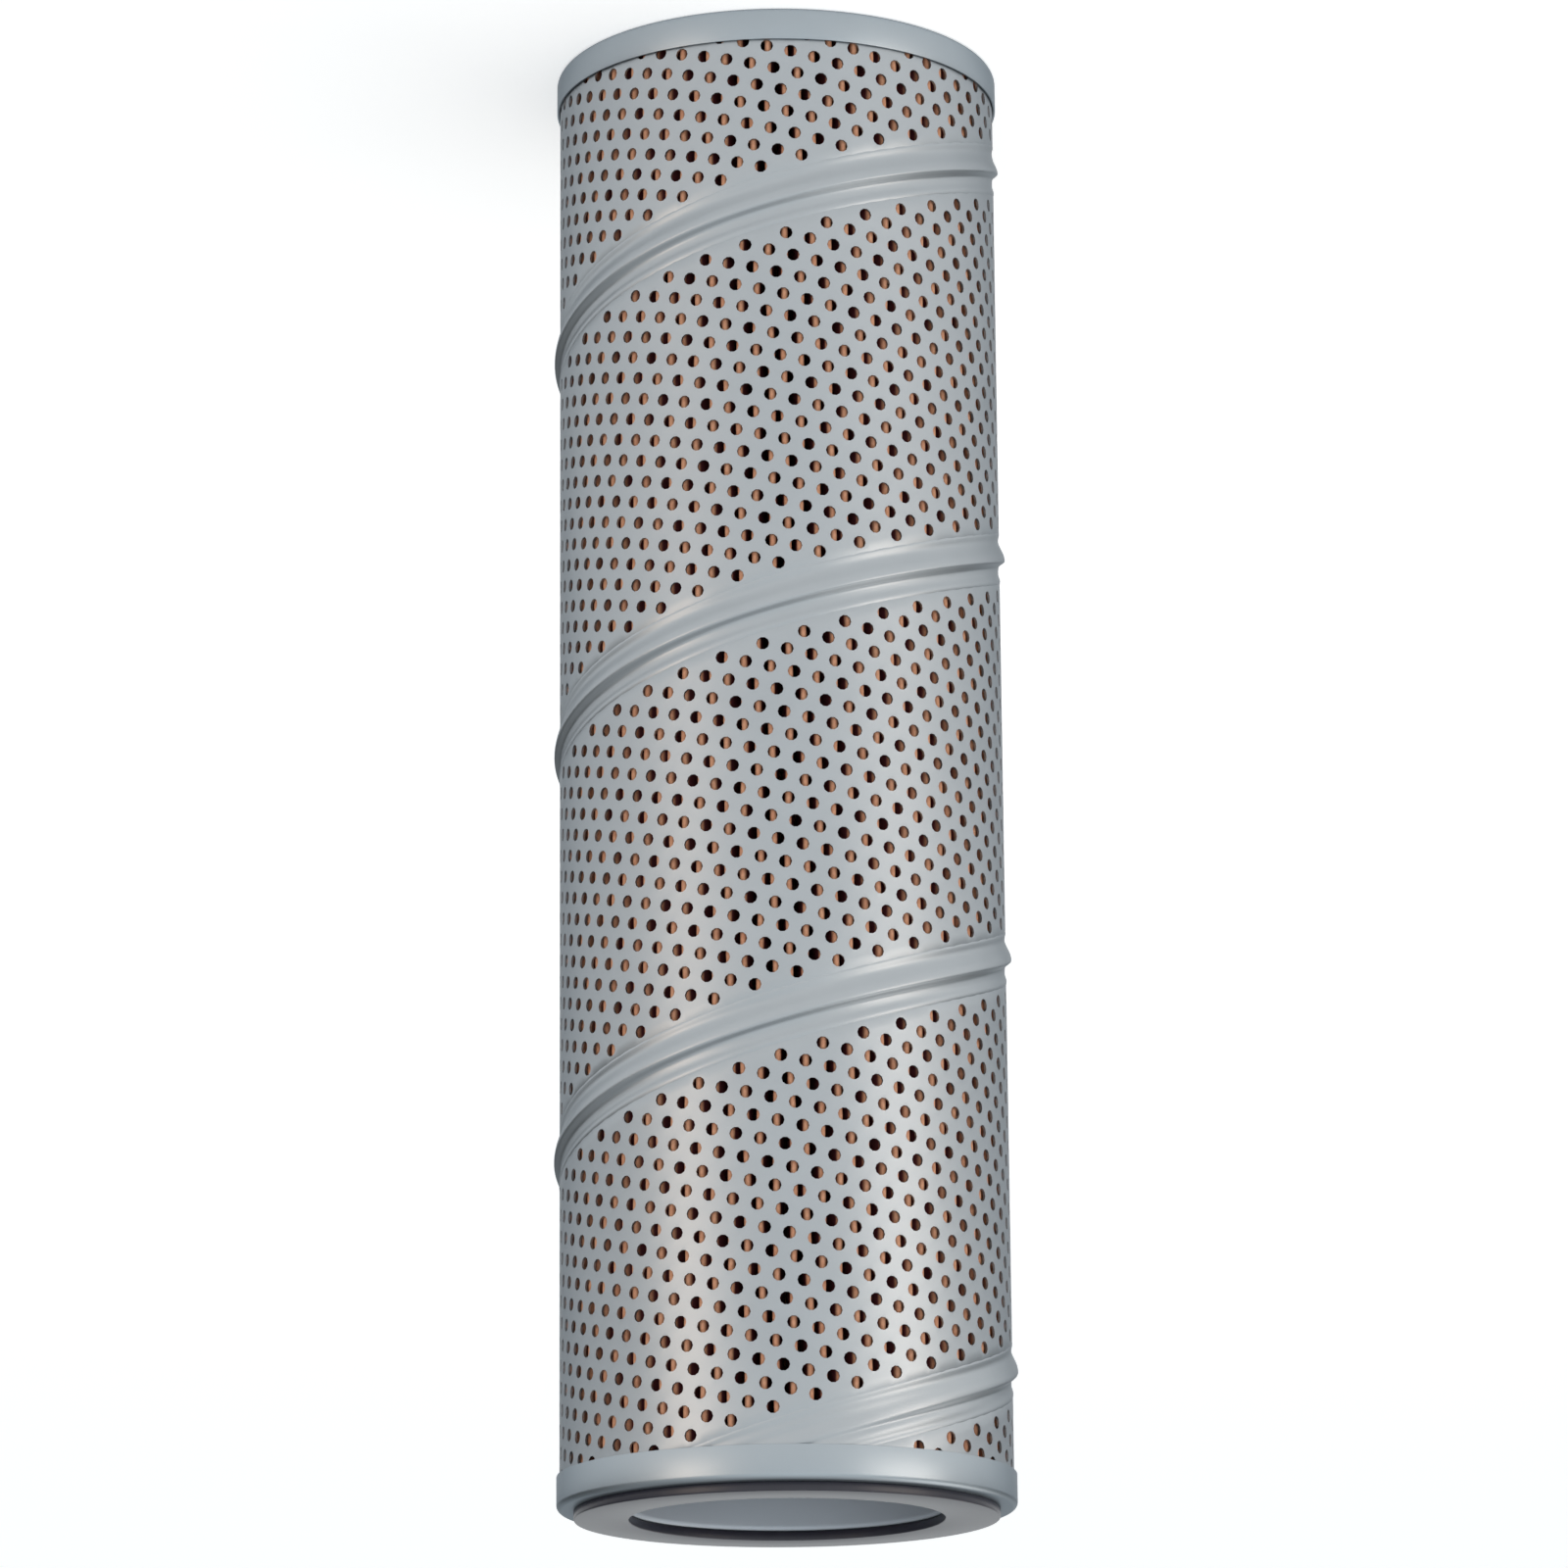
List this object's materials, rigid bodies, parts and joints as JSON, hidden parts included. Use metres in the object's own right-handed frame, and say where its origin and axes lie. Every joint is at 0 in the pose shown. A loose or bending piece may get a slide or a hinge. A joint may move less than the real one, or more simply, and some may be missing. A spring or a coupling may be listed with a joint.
{
  "type": "hydraulic filter element",
  "caption": "Tall cylindrical hydraulic filter element: perforated steel tube with a spiral seam round pleated paper, with a closed cap and an outlet cap that has a sealing washer.",
  "frame": {"origin": "middle of the closed end's outer face", "axes": "+Z along the element's axis, from the closed end to the outlet"},
  "size_m": [0.0961, 0.096, 0.3127],
  "materials": {
    "perforated_steel": "zinc plated, satin",
    "cap_steel": "zinc plated, satin",
    "filter_paper": "resin treated, matt",
    "adhesive": "cured, dull",
    "seal_rubber": "matt black"
  },
  "bodies": {
    "root": {"outer_tube": "perforated_steel", "centre_tube": "perforated_steel", "pleated_paper": "filter_paper", "pleat_seam_clip": "perforated_steel", "closed_end_potting": "adhesive", "open_end_potting": "adhesive", "closed_end_cap": "cap_steel", "open_end_cap": "cap_steel", "open_end_gasket": "seal_rubber"}
  },
  "joints": []
}
